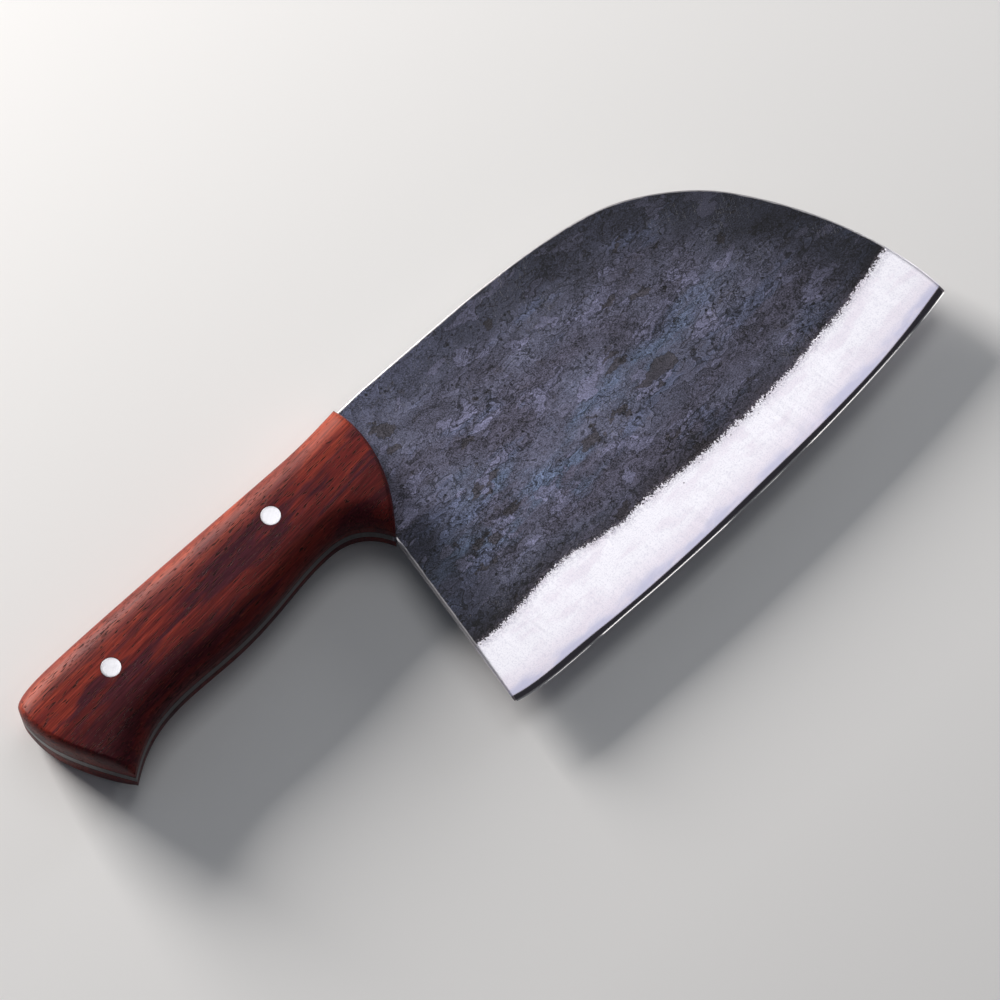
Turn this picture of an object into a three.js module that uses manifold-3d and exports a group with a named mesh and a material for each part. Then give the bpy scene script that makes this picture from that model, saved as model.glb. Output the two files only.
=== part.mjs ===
// Forged cleaver with a full tang: one steel forging, two wooden handle scales, an adhesive film under
// each scale, and two compression rivets, each made of a barrel half and a pin half.
//
// Units are millimetres. The parts are drawn about a datum where the spine line meets the front of
// the handle, in the blade's middle plane: +X runs to the tip, +Y to the spine, +Z out of the blade's
// right-hand side. The exported group then stands the knife flat with its origin under the middle of
// its bounding box.

import * as THREE from "three";
import { mergeVertices } from "three/addons/utils/BufferGeometryUtils.js";
import Module from "manifold-3d";

// ---------------------------------------------------------------- driving dimensions

const tip = [159.2, -96.9];
const heel = [-24.5, -101.8];
const edgeMiddle = [24.3, -104.8];
const handleCorner = [-15.2, -41.5];
const spineRoot = [-9, -1.2];
const spineStart = [12, 0.2];
const spineBend = [42, 0.2];
const spineShoulder = [108.11, -7.67];
const spineTurn = [135.46, -28.75];
const handleFrontTop = [-1.8, -0.4];
const buttTop = [-129.9, -6];
const buttBottom = [-119, -44.2];

const tangThickness = 3.6;
const bondThickness = 0.2;
const bondInset = 0.15;
const handleThickness = 22.5;

const cheekTaperForward = 0.0036;
const cheekTaperDown = 0.0064;
const grindHeight = 20;
const edgeBevelHeight = 1.8;
const edgeBevelThickness = 0.84;
const apexThickness = 0.12;

const gripCrown = 2;
const gripFlatShare = 0.25;
const roundingDepth = 4.5;
const sideRounding = 8;
const endRounding = 2;

const rivetPlaces = { front: [-39.1, -14.2], rear: [-103.6, -17.2] };
const rivetHeadRadius = 3;
const rivetHeadThickness = 2.5;
const rivetBarrelRadius = 2;
const rivetBoreRadius = 1.35;
const rivetPinRadius = 1.2;
const rivetFlushDepth = 0.05;
const rivetEndPlay = 0.3;
const rivetPinShortfall = 1;
const drillClearance = 0.1;

const bladeColumns = 44;
const bladeUpperRows = 4;
const handleMiddleColumns = 15;
const handleMiddleRows = 8;
const roundingSteps = 4;
const roundFacets = 40;

// ---------------------------------------------------------------- outline curves

const point = ([x, y]) => new THREE.Vector2(x, y);
const line = (a, b) => new THREE.LineCurve(point(a), point(b));
const bezier = (...points) => new THREE.CubicBezierCurve(...points.map(point));

function chain(...curves) {
  const path = new THREE.CurvePath();
  curves.forEach((curve) => path.add(curve));
  return path;
}

const cuttingEdge = chain(
  bezier(heel, [-13.8, -104.8], [-0.3, -104], edgeMiddle),
  bezier(edgeMiddle, [53.2, -105.7], [113.9, -105], tip),
);
const noseLine = bezier(tip, [160.2, -77], [150.97, -49.85], spineTurn);
const choilLine = chain(line(heel, handleCorner), line(handleCorner, spineRoot));
const spine = chain(
  bezier(spineRoot, [-2, -0.3], [5, 0.2], spineStart),
  line(spineStart, spineBend),
  bezier(spineBend, [63.3, 0.2], [93.1, -1.12], spineShoulder),
  bezier(spineShoulder, [112.94, -9.78], [126.9, -17.09], spineTurn),
);

const handleFront = bezier(handleCorner, [-4, -29], [0, -16], handleFrontTop);
const handleBack = chain(
  bezier(buttTop, [-127.8, -3.9], [-122, -3.3], [-117, -3]),
  bezier([-117, -3], [-95, -1.9], [-50, -2.3], [-24, -2.1]),
  bezier([-24, -2.1], [-16, -2], [-9, -1.2], handleFrontTop),
);
const handleBelly = chain(
  bezier(buttBottom, [-104, -32.6], [-92, -34.9], [-74, -34.9]),
  bezier([-74, -34.9], [-55, -34.9], [-45, -30.4], [-31, -30.5]),
  bezier([-31, -30.5], [-23, -30.6], [-18, -35], handleCorner),
);
const handleButt = chain(
  bezier(buttBottom, [-128.4, -28.5], [-131.4, -21], [-131.4, -13]),
  bezier([-131.4, -13], [-131.4, -10], [-131.2, -8], buttTop),
);

// A patch stretched between four sides: bottom and top run in +X, left and right run in +Y.
function patch(bottom, top, left, right) {
  const lowLeft = bottom.getPointAt(0);
  const lowRight = bottom.getPointAt(1);
  const highLeft = top.getPointAt(0);
  const highRight = top.getPointAt(1);
  return (u, v) =>
    new THREE.Vector2()
      .addScaledVector(bottom.getPointAt(u), 1 - v)
      .addScaledVector(top.getPointAt(u), v)
      .addScaledVector(left.getPointAt(v), 1 - u)
      .addScaledVector(right.getPointAt(v), u)
      .addScaledVector(lowLeft, -(1 - u) * (1 - v))
      .addScaledVector(lowRight, -u * (1 - v))
      .addScaledVector(highLeft, -(1 - u) * v)
      .addScaledVector(highRight, -u * v);
}

const bladePatch = patch(cuttingEdge, spine, choilLine, noseLine);
const handlePatch = patch(handleBelly, handleBack, handleButt, handleFront);

// ---------------------------------------------------------------- solids

// A closed solid over a grid of plan points: at(i, j) gives { plan, high, low } for each grid point.
function gridSolid(columns, rows, at) {
  const positions = [];
  const index = [];
  const vertex = (i, j, layer) => (layer * (rows + 1) + j) * (columns + 1) + i;
  const quad = (a, b, c, d) => index.push(a, b, c, a, c, d);
  for (const layer of ["low", "high"]) {
    for (let j = 0; j <= rows; j += 1) {
      for (let i = 0; i <= columns; i += 1) {
        const place = at(i, j);
        positions.push(place.plan.x, place.plan.y, place[layer]);
      }
    }
  }
  for (let i = 0; i < columns; i += 1) {
    for (let j = 0; j < rows; j += 1) {
      quad(vertex(i, j, 1), vertex(i + 1, j, 1), vertex(i + 1, j + 1, 1), vertex(i, j + 1, 1));
      quad(vertex(i, j, 0), vertex(i, j + 1, 0), vertex(i + 1, j + 1, 0), vertex(i + 1, j, 0));
    }
    quad(vertex(i, 0, 0), vertex(i + 1, 0, 0), vertex(i + 1, 0, 1), vertex(i, 0, 1));
    quad(vertex(i, rows, 1), vertex(i + 1, rows, 1), vertex(i + 1, rows, 0), vertex(i, rows, 0));
  }
  for (let j = 0; j < rows; j += 1) {
    quad(vertex(0, j, 0), vertex(0, j, 1), vertex(0, j + 1, 1), vertex(0, j + 1, 0));
    const end = columns;
    quad(vertex(end, j, 1), vertex(end, j, 0), vertex(end, j + 1, 0), vertex(end, j + 1, 1));
  }
  const geometry = new THREE.BufferGeometry();
  geometry.setAttribute("position", new THREE.Float32BufferAttribute(positions, 3));
  geometry.setIndex(index);
  return geometry;
}

function cylinderAlongZ(radius, [x, y], lowZ, highZ) {
  return new THREE.CylinderGeometry(radius, radius, highZ - lowZ, roundFacets)
    .rotateX(Math.PI / 2)
    .translate(x, y, (lowZ + highZ) / 2);
}

function turnedAboutZ(profile, [x, y]) {
  const points = profile.map(([radius, height]) => new THREE.Vector2(radius, height));
  return new THREE.LatheGeometry(points, roundFacets).rotateX(Math.PI / 2).translate(x, y, 0);
}

const wasm = await Module();
wasm.setup();

function toSolid(geometry) {
  const bare = geometry.clone();
  bare.deleteAttribute("normal");
  bare.deleteAttribute("uv");
  const merged = mergeVertices(bare, 1e-4);
  const vertProperties = merged.getAttribute("position").array;
  const triVerts = new Uint32Array(merged.getIndex().array);
  return new wasm.Manifold(new wasm.Mesh({ numProp: 3, vertProperties, triVerts }));
}

function toGeometry(solid) {
  const mesh = solid.getMesh();
  const geometry = new THREE.BufferGeometry();
  geometry.setAttribute("position", new THREE.Float32BufferAttribute(mesh.vertProperties, 3));
  geometry.setIndex(new THREE.Uint32BufferAttribute(mesh.triVerts, 1));
  geometry.computeVertexNormals();
  return geometry;
}

// ---------------------------------------------------------------- layers of the handle

const tangHalf = tangThickness / 2;
const scaleInnerZ = tangHalf + bondThickness;
const scaleOuterZ = handleThickness / 2;
const rivetSeatZ = scaleOuterZ - rivetHeadThickness;
const rivetTopZ = scaleOuterZ - rivetFlushDepth;
const drillReach = scaleOuterZ + 1;

// Shares of a side where a rounding at both ends needs grid lines, with even steps between.
function roundedShares(length, rounding, middleSteps) {
  const start = Array.from({ length: roundingSteps }, (_, step) => {
    return (rounding / length) * (1 - Math.cos((step / roundingSteps) * (Math.PI / 2)));
  });
  const middle = Array.from({ length: middleSteps + 1 }, (_, step) => {
    return rounding / length + (1 - (2 * rounding) / length) * (step / middleSteps);
  });
  return [...start, ...middle, ...start.map((share) => 1 - share).reverse()];
}

// How far a rounded edge has risen at a distance from the outline: 0 at the outline, 1 past the rounding.
function risen(distance, rounding) {
  const short = Math.max(0, 1 - distance / rounding);
  return Math.sqrt(1 - short * short);
}

const handleLength = handleBack.getLength();
const handleColumns = roundedShares(handleLength, endRounding, handleMiddleColumns);

// A solid over the handle's outline, drawn in by an inset. levelsAt gives its low and high faces from
// the distances to the nearest end and to the nearest side, and the share across the grip.
function handleGrid(inset, levelsAt) {
  const rows = 2 * roundingSteps + handleMiddleRows;
  return gridSolid(handleColumns.length - 1, rows, (i, j) => {
    const u = handleColumns[i];
    const width = handleBelly.getPointAt(u).distanceTo(handleBack.getPointAt(u));
    const v = roundedShares(width, sideRounding, handleMiddleRows)[j];
    const keptIn = (share, size) => THREE.MathUtils.clamp(share, inset / size, 1 - inset / size);
    const plan = handlePatch(keptIn(u, handleLength), keptIn(v, width));
    const endDistance = Math.min(u, 1 - u) * handleLength;
    const sideDistance = Math.min(v, 1 - v) * width;
    return { plan, ...levelsAt({ endDistance, sideDistance, across: v }) };
  });
}

const handleSlab = (low, high, inset) => handleGrid(inset, () => ({ low, high }));

// A solid with a through hole for each rivet barrel.
function drilled(solid) {
  return Object.values(rivetPlaces).reduce((left, place) => {
    const drill = cylinderAlongZ(rivetBarrelRadius + drillClearance, place, -drillReach, drillReach);
    return left.subtract(toSolid(drill));
  }, solid);
}

// ---------------------------------------------------------------- the forging

// Half the blade's thickness on its flat cheek, thinning towards the tip and the edge.
function cheekHalf({ x, y }) {
  return tangHalf - cheekTaperForward * Math.max(0, x) + cheekTaperDown * Math.min(0, y);
}

function bladeGeometry() {
  const rows = bladeUpperRows + 2;
  return gridSolid(bladeColumns, rows, (i, j) => {
    const u = i / bladeColumns;
    const height = cuttingEdge.getPointAt(u).distanceTo(spine.getPointAt(u));
    const grindShare = grindHeight / height;
    const cheekShare = grindShare + ((1 - grindShare) * (j - 2)) / bladeUpperRows;
    const plan = bladePatch(u, [0, edgeBevelHeight / height][j] ?? cheekShare);
    const high = [apexThickness / 2, edgeBevelThickness / 2][j] ?? cheekHalf(plan);
    return { plan, high, low: -high };
  });
}

// The blade and the full tang in one piece, drilled for the rivet barrels.
function forging() {
  const tang = handleSlab(-tangHalf, tangHalf, 0);
  return toGeometry(drilled(toSolid(bladeGeometry()).add(toSolid(tang))));
}

// ---------------------------------------------------------------- the handle scales and bonds

// Height of a scale's outer face: flat along the middle of the grip, crowned to either side of that,
// and rounded over at its sides and ends.
function faceHeight({ endDistance, sideDistance, across }) {
  const pastFlat = Math.max(0, Math.abs(2 * across - 1) - gripFlatShare) / (1 - gripFlatShare);
  const rise = risen(endDistance, endRounding) * risen(sideDistance, sideRounding);
  return scaleOuterZ - gripCrown * pastFlat ** 2 - roundingDepth * (1 - rise);
}

function scaleGeometry(side) {
  return handleGrid(0, (place) => {
    const levels = [side * scaleInnerZ, side * faceHeight(place)];
    return { low: Math.min(...levels), high: Math.max(...levels) };
  });
}

// A scale with its rivet holes: a through hole for the barrel and a counterbore for the head.
function scale(side) {
  let solid = drilled(toSolid(scaleGeometry(side)));
  const [lowZ, highZ] = side > 0 ? [rivetSeatZ, drillReach] : [-drillReach, -rivetSeatZ];
  for (const place of Object.values(rivetPlaces)) {
    const counterbore = cylinderAlongZ(rivetHeadRadius + drillClearance, place, lowZ, highZ);
    solid = solid.subtract(toSolid(counterbore));
  }
  return toGeometry(solid);
}

// The adhesive between a scale and the tang, a hair short of the outline.
function bondFilm(side) {
  const [lowZ, highZ] = side > 0 ? [tangHalf, scaleInnerZ] : [-scaleInnerZ, -tangHalf];
  return toGeometry(drilled(toSolid(handleSlab(lowZ, highZ, bondInset))));
}

// ---------------------------------------------------------------- the rivets

// The half put in from the right: a head on a barrel, bored from its far end.
function rivetBarrel(place) {
  const boreEnd = rivetSeatZ - rivetPinShortfall / 2;
  const profile = [
    [0, boreEnd],
    [rivetBoreRadius, boreEnd],
    [rivetBoreRadius, -rivetSeatZ + rivetEndPlay],
    [rivetBarrelRadius, -rivetSeatZ + rivetEndPlay],
    [rivetBarrelRadius, rivetSeatZ],
    [rivetHeadRadius, rivetSeatZ],
    [rivetHeadRadius, rivetTopZ],
    [0, rivetTopZ],
  ];
  return turnedAboutZ(profile, place);
}

// The half driven in from the left: a head on a solid pin that fills the barrel's bore.
function rivetPin(place) {
  const pinEnd = rivetSeatZ - rivetPinShortfall;
  const profile = [
    [0, -rivetTopZ],
    [rivetHeadRadius, -rivetTopZ],
    [rivetHeadRadius, -rivetSeatZ],
    [rivetPinRadius, -rivetSeatZ],
    [rivetPinRadius, pinEnd],
    [0, pinEnd],
  ];
  return turnedAboutZ(profile, place);
}

// ---------------------------------------------------------------- materials and assembly

function finish(color, roughness, metalness) {
  return new THREE.MeshStandardMaterial({ color, roughness, metalness });
}
const forgedSteel = () => finish("#3d4250", 0.55, 0.85);
const oiledRosewood = () => finish("#6e2a1c", 0.42, 0);
const satinSteel = () => finish("#d6d5dc", 0.28, 1);
const darkAdhesive = () => finish("#2a1d17", 0.6, 0);

const cleaver = new THREE.Group();

function addPart(name, geometry, material) {
  const mesh = new THREE.Mesh(geometry, material);
  mesh.name = name;
  cleaver.add(mesh);
}

addPart("blade_and_tang", forging(), forgedSteel());
for (const [name, side] of [["right", 1], ["left", -1]]) {
  addPart(`handle_scale_${name}`, scale(side), oiledRosewood());
  addPart(`bond_film_${name}`, bondFilm(side), darkAdhesive());
}
for (const [name, place] of Object.entries(rivetPlaces)) {
  addPart(`${name}_rivet_barrel`, rivetBarrel(place), satinSteel());
  addPart(`${name}_rivet_pin`, rivetPin(place), satinSteel());
}

const extent = new THREE.Box3().setFromObject(cleaver);
const middle = extent.getCenter(new THREE.Vector3());
cleaver.position.set(-middle.x, -middle.y, -extent.min.z);

export default cleaver;
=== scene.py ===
"""Looks for a forged cleaver: a dark forged blade with a bright ground edge, on a full tang between two
rosewood scales.

Outlines are in millimetres about a datum, where the spine line meets the front of the handle: +X runs to
the tip, +Y to the spine, +Z out of the blade's right-hand side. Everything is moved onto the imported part
and scaled to metres as its mesh is made.
"""

import math
from types import SimpleNamespace

import bmesh
import bpy
import numpy as np
from mathutils import Matrix, Vector, noise


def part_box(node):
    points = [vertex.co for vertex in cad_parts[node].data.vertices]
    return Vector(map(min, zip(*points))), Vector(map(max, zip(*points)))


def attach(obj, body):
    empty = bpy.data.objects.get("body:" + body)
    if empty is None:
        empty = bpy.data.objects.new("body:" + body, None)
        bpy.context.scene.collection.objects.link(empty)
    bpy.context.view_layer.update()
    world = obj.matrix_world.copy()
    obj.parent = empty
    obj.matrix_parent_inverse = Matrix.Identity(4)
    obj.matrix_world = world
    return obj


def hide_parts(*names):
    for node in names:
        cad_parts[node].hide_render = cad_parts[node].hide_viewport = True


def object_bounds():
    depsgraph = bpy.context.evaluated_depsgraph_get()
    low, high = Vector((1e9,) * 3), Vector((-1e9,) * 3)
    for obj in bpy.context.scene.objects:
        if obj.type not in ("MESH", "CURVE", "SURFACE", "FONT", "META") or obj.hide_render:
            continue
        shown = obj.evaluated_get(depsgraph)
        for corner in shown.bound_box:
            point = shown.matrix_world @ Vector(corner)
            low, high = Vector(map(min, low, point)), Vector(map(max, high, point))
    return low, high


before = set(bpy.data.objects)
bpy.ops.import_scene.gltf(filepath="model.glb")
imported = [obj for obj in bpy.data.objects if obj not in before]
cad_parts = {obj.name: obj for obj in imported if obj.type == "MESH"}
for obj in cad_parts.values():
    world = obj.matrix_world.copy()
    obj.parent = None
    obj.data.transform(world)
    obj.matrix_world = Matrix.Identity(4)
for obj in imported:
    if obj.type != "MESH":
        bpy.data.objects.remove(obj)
cad_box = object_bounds()

MM = 0.001
SHARP_ANGLE = 35

# ------------------------------------------------------------------ outline curves

LINE_POINTS = 60
CURVE_POINTS = 240


def line(a, b):
    share = np.linspace(0, 1, LINE_POINTS)[:, None]
    return (1 - share) * np.array(a, float) + share * np.array(b, float)


def bezier(a, b, c, d):
    t = np.linspace(0, 1, CURVE_POINTS)[:, None]
    a, b, c, d = (np.array(p, float) for p in (a, b, c, d))
    return (1 - t) ** 3 * a + 3 * (1 - t) ** 2 * t * b + 3 * (1 - t) * t**2 * c + t**3 * d


class Outline:
    """A chain of curves that gives points by their share of its length."""

    def __init__(self, *curves):
        points = [curves[0]] + [c[1:] for c in curves[1:]]
        self.points = np.vstack(points)
        steps = np.linalg.norm(np.diff(self.points, axis=0), axis=1)
        reach = np.concatenate([[0], np.cumsum(steps)])
        self.length = reach[-1]
        self.shares = reach / self.length

    def at(self, share):
        """The points at shares of the length."""
        return np.stack([np.interp(share, self.shares, self.points[:, k]) for k in (0, 1)], axis=-1)

    def share_of(self, point):
        """The share of the length at which the outline passes a point."""
        gaps = np.linalg.norm(self.points - np.array(point, float), axis=1)
        return self.shares[int(np.argmin(gaps))]


TIP = (159.2, -96.9)
HEEL = (-24.5, -101.8)
EDGE_MIDDLE = (24.3, -104.8)
HANDLE_CORNER = (-15.2, -41.5)
SPINE_ROOT = (-9, -1.2)
SPINE_START = (12, 0.2)
SPINE_BEND = (42, 0.2)
SPINE_SHOULDER = (108.11, -7.67)
SPINE_TURN = (135.46, -28.75)
HANDLE_FRONT_TOP = (-1.8, -0.4)
BUTT_TOP = (-129.9, -6)
BUTT_BOTTOM = (-119, -44.2)

# Heights from the blade's middle plane, and how much the cheeks thin per millimetre.
TANG_HALF = 1.8
BOND = 0.2
SCALE_INNER = TANG_HALF + BOND
SCALE_OUTER = 11.25
TAPER_FORWARD = 0.0036
TAPER_DOWN = 0.0064

cutting_edge = Outline(
    bezier(HEEL, (-13.8, -104.8), (-0.3, -104), EDGE_MIDDLE),
    bezier(EDGE_MIDDLE, (53.2, -105.7), (113.9, -105), TIP),
)
nose = Outline(bezier(TIP, (160.2, -77), (150.97, -49.85), SPINE_TURN))
choil = Outline(line(HEEL, HANDLE_CORNER), line(HANDLE_CORNER, SPINE_ROOT))
spine = Outline(
    bezier(SPINE_ROOT, (-2, -0.3), (5, 0.2), SPINE_START),
    line(SPINE_START, SPINE_BEND),
    bezier(SPINE_BEND, (63.3, 0.2), (93.1, -1.12), SPINE_SHOULDER),
    bezier(SPINE_SHOULDER, (112.94, -9.78), (126.9, -17.09), SPINE_TURN),
)
handle_front = Outline(bezier(HANDLE_CORNER, (-4, -29), (0, -16), HANDLE_FRONT_TOP))
handle_back = Outline(
    bezier(BUTT_TOP, (-127.8, -3.9), (-122, -3.3), (-117, -3)),
    bezier((-117, -3), (-95, -1.9), (-50, -2.3), (-24, -2.1)),
    bezier((-24, -2.1), (-16, -2), (-9, -1.2), HANDLE_FRONT_TOP),
)
handle_belly = Outline(
    bezier(BUTT_BOTTOM, (-104, -32.6), (-92, -34.9), (-74, -34.9)),
    bezier((-74, -34.9), (-55, -34.9), (-45, -30.4), (-31, -30.5)),
    bezier((-31, -30.5), (-23, -30.6), (-18, -35), HANDLE_CORNER),
)
handle_butt = Outline(
    bezier(BUTT_BOTTOM, (-128.4, -28.5), (-131.4, -21), (-131.4, -13)),
    bezier((-131.4, -13), (-131.4, -10), (-131.2, -8), BUTT_TOP),
)


def patch(bottom, top, left, right, u, v):
    """Plan points of a patch stretched between four sides, at arrays of shares along and across."""
    u, v = np.broadcast_arrays(u, v)
    a, b = u[..., None], v[..., None]
    corners = (1 - a) * (1 - b) * bottom.at(0) + a * (1 - b) * bottom.at(1)
    corners = corners + (1 - a) * b * top.at(0) + a * b * top.at(1)
    across = (1 - b) * bottom.at(u) + b * top.at(u)
    along = (1 - a) * left.at(v) + a * right.at(v)
    return across + along - corners


# The datum in the row frame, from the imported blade: its outline's low corner and its middle plane.
blade_low, blade_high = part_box("blade_and_tang")
outline_low = np.minimum(handle_butt.points.min(0), cutting_edge.points.min(0))
datum = Vector(
    (
        blade_low.x - outline_low[0] * MM,
        blade_low.y - outline_low[1] * MM,
        (blade_low.z + blade_high.z) / 2,
    )
)

# ------------------------------------------------------------------ mesh helpers


FIELD_FALL = 0.9
FIELD_STEP = 2.1
FIELD_OCTAVES = 3


def field(points, size, seed, stretch=(1, 1)):
    """Smooth noise over plan points, about -1 to 1, with features of the given size in mm."""
    scales = [size * share for share in stretch]
    values = [
        noise.fractal(Vector((x / scales[0], y / scales[1], seed)), FIELD_FALL, FIELD_STEP, FIELD_OCTAVES)
        for x, y in points.reshape(-1, 2)
    ]
    return np.array(values).reshape(points.shape[:-1])


def smoothstep(low, high, x):
    t = np.clip((x - low) / (high - low), 0, 1)
    return t * t * (3 - 2 * t)


def ring(columns, rows):
    """Grid positions round the border of a grid, once round, anticlockwise from the low left corner."""
    low = [(i, 0) for i in range(columns)]
    right = [(columns, j) for j in range(rows)]
    high = [(columns - i, rows) for i in range(columns)]
    left = [(0, rows - j) for j in range(rows)]
    return low + right + high + left


class Builder:
    """Collects millimetre points and faces of one closed piece, with named numbers on its points."""

    def __init__(self):
        self.points = []
        self.faces = []
        self.count = 0
        self.numbers = {}

    def add(self, points):
        """Adds points and gives their numbers."""
        points = np.asarray(points, float).reshape(-1, 3)
        self.points.append(points)
        first = self.count
        self.count += len(points)
        return np.arange(first, self.count)

    def sheet(self, index, flip):
        """Faces of a grid of point numbers index[i, j]."""
        a, b, c, d = index[:-1, :-1], index[1:, :-1], index[1:, 1:], index[:-1, 1:]
        quads = np.stack([a, b, c, d] if not flip else [a, d, c, b], axis=-1)
        self.faces.extend(quads.reshape(-1, 4).tolist())

    def band(self, low, high, closed=False):
        """A wall between two rows of point numbers, facing right of their direction seen from above."""
        ends = range(len(low) if closed else len(low) - 1)
        for k in ends:
            n = (k + 1) % len(low)
            self.faces.append([int(low[k]), int(low[n]), int(high[n]), int(high[k])])

    def build(self, name, sharp=SHARP_ANGLE):
        """Makes the piece, in metres in the row frame. Edges steeper than sharp degrees are shaded sharp."""
        mesh = bpy.data.meshes.new(name)
        points = np.vstack(self.points) * MM + np.array(datum)
        mesh.from_pydata(points.tolist(), [], self.faces)
        mesh.validate()
        for key, values in self.numbers.items():
            attribute = mesh.attributes.new(key, "FLOAT", "POINT")
            attribute.data.foreach_set("value", np.asarray(values, np.float32))
        mesh.shade_smooth()
        mesh.set_sharp_from_angle(angle=math.radians(sharp))
        piece = bpy.data.objects.new(name, mesh)
        bpy.context.scene.collection.objects.link(piece)
        return piece


TURNED_SIDES = 96


def turned(name, profile, place):
    """A closed lathe of (radius, height) about an upright axis; the profile starts and ends on the axis."""
    shape = Builder()
    angles = np.linspace(0, 2 * math.pi, TURNED_SIDES, endpoint=False)
    rings = []
    for radius, height in profile:
        if radius == 0:
            rings.append(shape.add([(place[0], place[1], height)]))
            continue
        xs, ys = place[0] + radius * np.cos(angles), place[1] + radius * np.sin(angles)
        rings.append(shape.add(np.column_stack([xs, ys, np.full(TURNED_SIDES, height)])))
    for one, two in zip(rings, rings[1:]):
        for k in range(TURNED_SIDES):
            n = (k + 1) % TURNED_SIDES
            corners = ((one, k), (one, n), (two, n), (two, k))
            face = [int(circle[corner % len(circle)]) for circle, corner in corners]
            shape.faces.append(list(dict.fromkeys(face)))
    return shape.build(name)


# Points closer than this, in metres, are made one after a cut.
WELD = 2e-6


def cut(piece, profile, centres):
    """Cuts turned holes out of a piece, welds the points along the cuts, and shades it again."""
    for number, centre in enumerate(centres):
        tool = turned(f"tool_{number}", profile, centre)
        change = piece.modifiers.new("hole", "BOOLEAN")
        change.operation = "DIFFERENCE"
        change.solver = "EXACT"
        change.object = tool
        bpy.context.view_layer.update()
        evaluated = piece.evaluated_get(bpy.context.evaluated_depsgraph_get())
        cut_mesh = bpy.data.meshes.new_from_object(evaluated)
        piece.modifiers.clear()
        old = piece.data
        piece.data = cut_mesh
        cut_mesh.name = piece.name
        bpy.data.meshes.remove(old)
        tool_mesh = tool.data
        bpy.data.objects.remove(tool)
        bpy.data.meshes.remove(tool_mesh)
    welded = bmesh.new()
    welded.from_mesh(piece.data)
    bmesh.ops.remove_doubles(welded, verts=welded.verts, dist=WELD)
    welded.to_mesh(piece.data)
    welded.free()
    piece.data.set_sharp_from_angle(angle=math.radians(SHARP_ANGLE))


# ------------------------------------------------------------------ the forging

BLADE_COLUMNS = 250
LOWER_ROWS = 84
UPPER_ROWS = 52
TANG_COLUMNS = 78
TANG_BACK_POINTS = 400
DISTANCE_POINTS = 500
FORGED_SHARP = 24

# The softened rim: gaps from the side of the blade, and how far the face has dropped at each.
SIDE_SOFTENING = (0, 0.15, 0.45)
SOFTENED_BY = (0.36, 0.14, 0)

# The ground band along the edge, from heel to tip: how high it reaches, and the narrow honed bevel's width.
GRIND_DEPTH_AT = [0, 0.06, 0.15, 0.21, 0.29, 0.4, 0.5, 0.7, 0.85, 1]
GRIND_DEPTH = [20.4, 21.6, 24, 25.4, 21.6, 22.2, 20.2, 19.8, 20.8, 22.8]
HONED_WIDTH_AT = [0, 0.13, 0.23, 0.4, 0.55, 0.7, 0.82, 0.92, 1]
HONED_WIDTH = [1.8, 2.1, 1.35, 1.6, 2.0, 1.6, 1.35, 1.8, 2.4]
HONED_ROWS = (0.35, 0.7, 0.93)
ROWS_PAST_HONED = (0.1, 0.35)
HONED_HALF = 0.42
HONED_STEP = 0.02
HONED_SLOPE = 0.19
BURR_WIDTH = 0.36
BURR_ROW = 0.4
BURR_SLOPE = 0.34
APEX_HALF = 0.02

# Numbers for the material: the limit of how deep inside the ground band a place is, and a far-off distance.
INSIDE_LIMIT = 60
FAR = 99.0


def eased(share, places, values):
    """Values eased between places, without corners."""
    reach = np.array([-0.03, -0.015, 0, 0.015, 0.03])
    return sum(np.interp(share + shift, places, values) for shift in reach) / len(reach)


def side_shares(length, steps, softening):
    """Even shares with extra ones close to both ends."""
    ends = np.array(softening) / length
    middle = np.linspace(ends[-1], 1 - ends[-1], steps)
    return np.concatenate([ends[:-1], middle, 1 - ends[:-1][::-1]])


def blade_rows():
    """Shares along the blade, and for each its shares from edge to spine with a row through the handle's
    corner, its height, its honed width and the number of that row."""
    u = side_shares(spine.length, BLADE_COLUMNS, SIDE_SOFTENING)
    height = np.linalg.norm(cutting_edge.at(u) - spine.at(u), axis=1)
    honed = eased(u, HONED_WIDTH_AT, HONED_WIDTH)
    corner = choil.share_of(HANDLE_CORNER)
    near = [0 * u, BURR_ROW * BURR_WIDTH + 0 * u, BURR_WIDTH + 0 * u]
    near += [BURR_WIDTH + (honed - BURR_WIDTH) * share for share in HONED_ROWS]
    near += [honed + step for step in ROWS_PAST_HONED]
    near = np.array(near) / height
    start = near[-1]
    lower = start + (corner - start) * np.linspace(0, 1, LOWER_ROWS + 1)[1:, None]
    top = 1 - SIDE_SOFTENING[2] / height
    upper = corner + (top - corner) * np.linspace(0, 1, UPPER_ROWS + 1)[1:, None]
    last = [1 - SIDE_SOFTENING[1] / height, 1 + 0 * height]
    v = np.vstack([near, lower, upper, np.array(last)]).T
    return u, v, height, honed, len(near) + LOWER_ROWS - 1


def distance_to(curve, plan):
    """How far each point of a plan grid is from a curve."""
    path = curve.at(np.linspace(0, 1, DISTANCE_POINTS))
    start, leg = path[:-1], np.diff(path, axis=0)
    away = np.empty(plan.shape[:2])
    for column, places in enumerate(plan):
        arm = places[:, None] - start
        share = np.clip((arm * leg).sum(-1) / (leg * leg).sum(-1), 0, 1)
        away[column] = np.linalg.norm(arm - share[..., None] * leg, axis=-1).min(axis=1)
    return away


def grinding_plane(from_edge, depth, honed, cheek):
    """The grinding plane's height, and its slope. It runs from the honed bevel up to the cheek, and cuts off
    whatever stands above it."""
    cheek_there = np.array([np.interp(d, e, c) for d, e, c in zip(depth[:, 0], from_edge, cheek)])[:, None]
    slope = (cheek_there - HONED_HALF) / (depth - honed)
    above = from_edge - honed
    plane = HONED_HALF + slope * above - 0.02 * np.clip(1 - above / 5, 0, 1) ** 2
    return plane + 0.02 * np.maximum(0, from_edge - depth) ** 1.5, slope


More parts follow.
